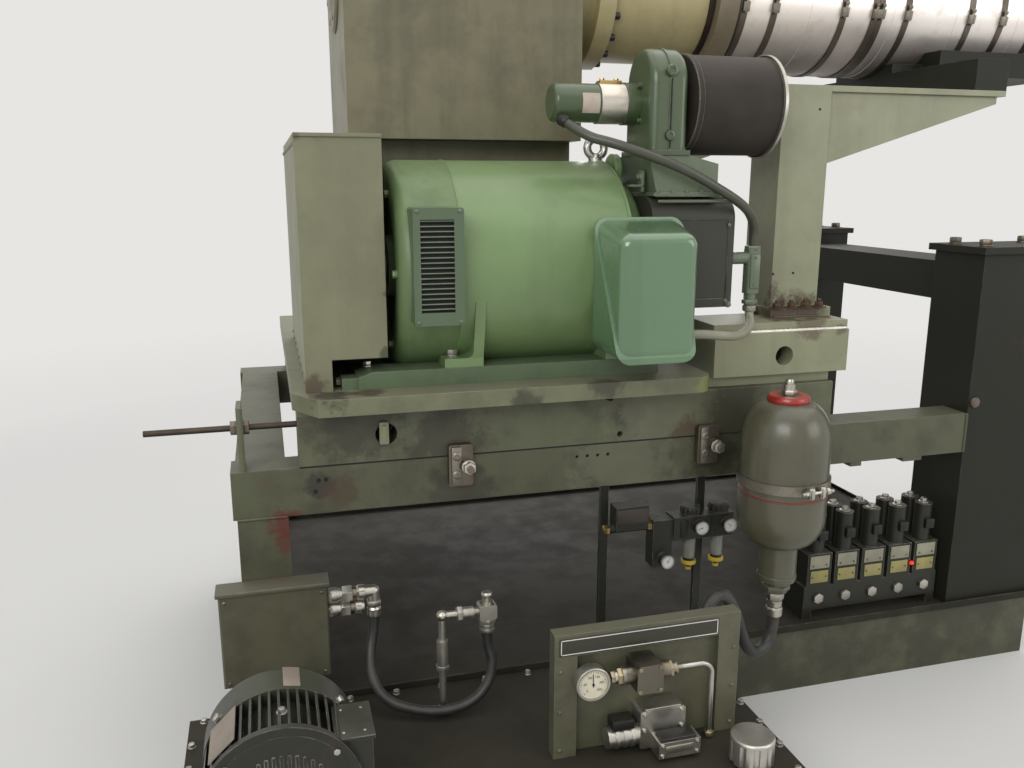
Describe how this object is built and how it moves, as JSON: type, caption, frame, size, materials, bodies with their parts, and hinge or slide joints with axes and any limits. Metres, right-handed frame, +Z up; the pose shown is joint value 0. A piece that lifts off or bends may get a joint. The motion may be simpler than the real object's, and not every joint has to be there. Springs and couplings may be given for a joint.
{
  "type": "blow molding machine, extruder drive and hydraulic end",
  "caption": "Plasticating extruder on a welded frame: drive motor with blower, belt guard, reducer, heated barrel, and the hydraulic panel, accumulator and pump motor",
  "frame": {"origin": "bottom centre of the machine without its hoses, on the floor", "axes": "+X along the extruder towards the die end, +Y away from the operator's side, +Z up"},
  "size_m": [3.198, 1.899, 2.338],
  "materials": {
    "frame_paint": "olive grey-green machine paint, worn and oily",
    "light_paint": "pale grey-green machine paint with scratches",
    "motor_green": "semi-gloss green motor enamel",
    "plenum_grey": "grey painted sheet metal",
    "dark_paint": "near-black grimy paint",
    "filter_brown": "dark brown filter drum",
    "stainless": "bright sheet steel heater shroud",
    "strap_steel": "dull steel band",
    "feed_paint": "warm olive beige paint",
    "accumulator_paint": "olive drab enamel",
    "fitting_steel": "zinc-plated fittings",
    "worn_steel": "oily brown steel",
    "hose_rubber": "black hydraulic hose",
    "conduit_plastic": "beige jacketed conduit"
  },
  "bodies": {
    "root": {"skid_beam_front": "frame_paint", "skid_beam_back": "frame_paint", "skid_cross_left": "frame_paint", "skid_cross_right": "frame_paint", "base_tray": "frame_paint", "leg_front": "frame_paint", "leg_back": "frame_paint", "rail_front": "frame_paint", "rail_back": "frame_paint", "rail_cross": "frame_paint", "carriage_beam_front": "frame_paint", "carriage_beam_back": "frame_paint", "carriage_cross": "frame_paint", "jack_bracket": "frame_paint", "oil_tank": "frame_paint", "manifold_panel": "frame_paint", "junction_box": "frame_paint", "base_plate": "light_paint", "belt_guard": "light_paint", "support_front": "light_paint", "support_back": "light_paint", "reducer_pedestal": "light_paint", "reducer_housing": "light_paint", "reducer_cover": "light_paint", "motor_rails": "motor_green", "motor_frame": "motor_green", "motor_drive_end": "motor_green", "louvre_cover": "motor_green", "terminal_box": "motor_green", "blower_adapter": "motor_green", "blower_scroll": "motor_green", "blower_motor": "motor_green", "conduit_box": "motor_green", "blower_plenum": "plenum_grey", "column_front": "dark_paint", "column_back": "dark_paint", "column_tie": "dark_paint", "barrel_cradle": "dark_paint", "pump_motor": "dark_paint", "air_unit": "dark_paint", "valve_bank": "dark_paint", "blower_filter": "filter_brown", "barrel_shroud": "stainless", "shroud_straps": "strap_steel", "feed_section": "feed_paint", "barrel_flange": "feed_paint", "accumulator": "accumulator_paint", "lifting_eye": "fitting_steel", "accumulator_fittings": "fitting_steel", "junction_couplings": "fitting_steel", "panel_fittings": "fitting_steel", "tank_standpipe": "fitting_steel", "jack_screw": "worn_steel", "clamp_block_left": "worn_steel", "clamp_block_right": "worn_steel", "barrel_end": "worn_steel", "accumulator_hose": "hose_rubber", "loop_hose": "hose_rubber", "blower_cable": "hose_rubber", "flexible_conduit": "conduit_plastic"}
  },
  "joints": []
}
